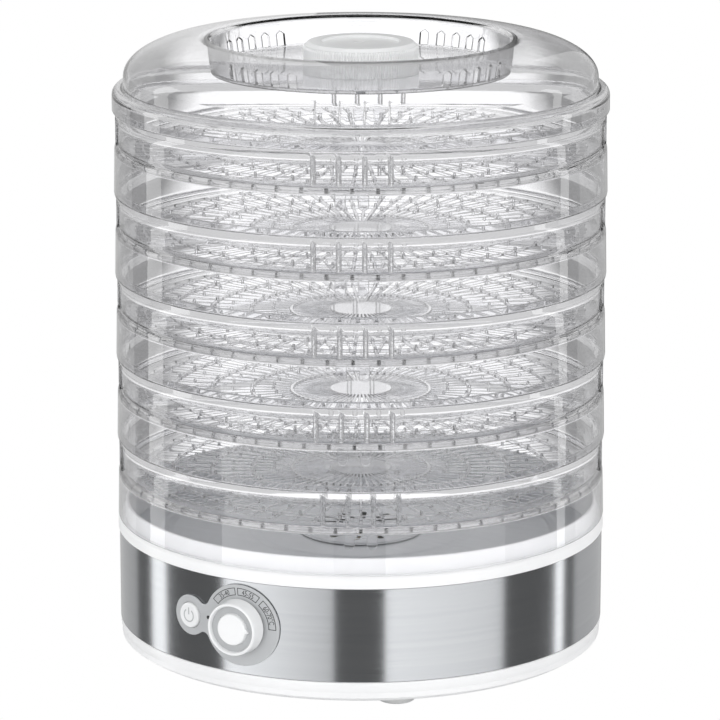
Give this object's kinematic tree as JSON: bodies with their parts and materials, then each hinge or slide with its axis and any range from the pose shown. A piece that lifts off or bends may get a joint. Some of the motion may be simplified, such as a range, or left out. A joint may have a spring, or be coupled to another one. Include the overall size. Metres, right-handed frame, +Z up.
{
  "type": "food dehydrator",
  "caption": "Round food dehydrator: heated base with steel band, dial and power button, stacked clear trays, and a clear lid with a rotary vent.",
  "frame": {"origin": "on the vertical axis of the stack, at the height of the surface the feet stand on", "axes": "+Z up, -Y towards the control panel, +X to the right of someone facing the panel"},
  "size_m": [0.32, 0.3482, 0.4024],
  "materials": {
    "clear_plastic": "clear, polished",
    "frosted_plastic": "milky translucent",
    "white_plastic": "semi-gloss white",
    "silver_plastic": "satin silver-grey",
    "brushed_steel": "brushed round the band",
    "satin_steel": "satin",
    "plated_steel": "zinc plated",
    "black_rubber": "matt",
    "white_rubber": "soft, matt",
    "black_plastic": "moulded",
    "mica": "layered mica sheet",
    "heating_wire": "oxidised resistance wire",
    "wire_insulation": "insulated lead",
    "glass_sleeve": "braided glass sleeve"
  },
  "bodies": {
    "base": {"base_pan": "white_plastic", "foot_1": "white_rubber", "foot_2": "white_rubber", "foot_3": "white_rubber", "foot_4": "white_rubber", "steel_band": "brushed_steel", "upper_shell": "white_plastic", "housing_screw_1": "plated_steel", "housing_screw_2": "plated_steel", "housing_screw_3": "plated_steel", "housing_screw_4": "plated_steel", "bracket_screw_1": "plated_steel", "bracket_screw_2": "plated_steel", "deck_plate": "satin_steel", "outlet_grille": "satin_steel", "air_duct": "plated_steel", "motor_bracket": "plated_steel", "fan_motor": "plated_steel", "heater_frame": "mica", "heating_coil": "heating_wire", "thermal_fuse": "white_plastic", "control_bezel": "silver_plastic", "thermostat": "black_plastic", "power_switch": "black_plastic", "cord_gland": "black_rubber", "terminal_block": "white_plastic", "wire_supply": "wire_insulation", "wire_control": "wire_insulation", "wire_heater": "glass_sleeve", "wire_motor": "wire_insulation"},
    "temperature_dial": {"thermostat_knob": "white_plastic", "thermostat_shaft": "plated_steel"},
    "power_button": {"power_button": "white_plastic"},
    "fan": {"fan_impeller": "black_plastic", "motor_shaft": "plated_steel"},
    "tray_5": {"tray_5": "clear_plastic"},
    "tray_4": {"tray_4": "clear_plastic"},
    "tray_3": {"tray_3": "clear_plastic"},
    "tray_2": {"tray_2": "clear_plastic"},
    "tray_1": {"tray_1": "clear_plastic"},
    "lid": {"lid": "clear_plastic", "vent_pivot": "plated_steel"},
    "rotary_vent": {"vent_knob": "frosted_plastic", "vent_shutter": "frosted_plastic"}
  },
  "joints": [
    {"name": "tray_5_lift", "type": "slide", "parent": "base", "child": "tray_5", "axis": [0, 0, 1], "range_m": [0, 0.08]},
    {"name": "tray_4_lift", "type": "slide", "parent": "tray_5", "child": "tray_4", "axis": [0, 0, 1], "range_m": [0, 0.08]},
    {"name": "tray_3_lift", "type": "slide", "parent": "tray_4", "child": "tray_3", "axis": [0, 0, 1], "range_m": [0, 0.08]},
    {"name": "tray_2_lift", "type": "slide", "parent": "tray_3", "child": "tray_2", "axis": [0, 0, 1], "range_m": [0, 0.08]},
    {"name": "tray_1_lift", "type": "slide", "parent": "tray_2", "child": "tray_1", "axis": [0, 0, 1], "range_m": [0, 0.08]},
    {"name": "lid_lift", "type": "slide", "parent": "tray_1", "child": "lid", "axis": [0, 0, 1], "range_m": [0, 0.08]},
    {"name": "vent_turn", "type": "hinge", "parent": "lid", "child": "rotary_vent", "pos_m": [0, 0, 0.39], "axis": [0, 0, 1], "range_deg": [0, 45]},
    {"name": "temperature_turn", "type": "hinge", "parent": "base", "child": "temperature_dial", "pos_m": [0.0192, -0.15753, 0.0522], "axis": [0.121, -0.9927, 0], "range_deg": [-10, 180]},
    {"name": "power_press", "type": "slide", "parent": "base", "child": "power_button", "axis": [0.1229, 0.9924, 0], "range_m": [0, 0.0014], "stiffness_N_per_m": 400},
    {"name": "fan_spin", "type": "hinge", "parent": "base", "child": "fan", "pos_m": [0, 0, 0.0468], "axis": [0, 0, 1], "continuous": true}
  ]
}
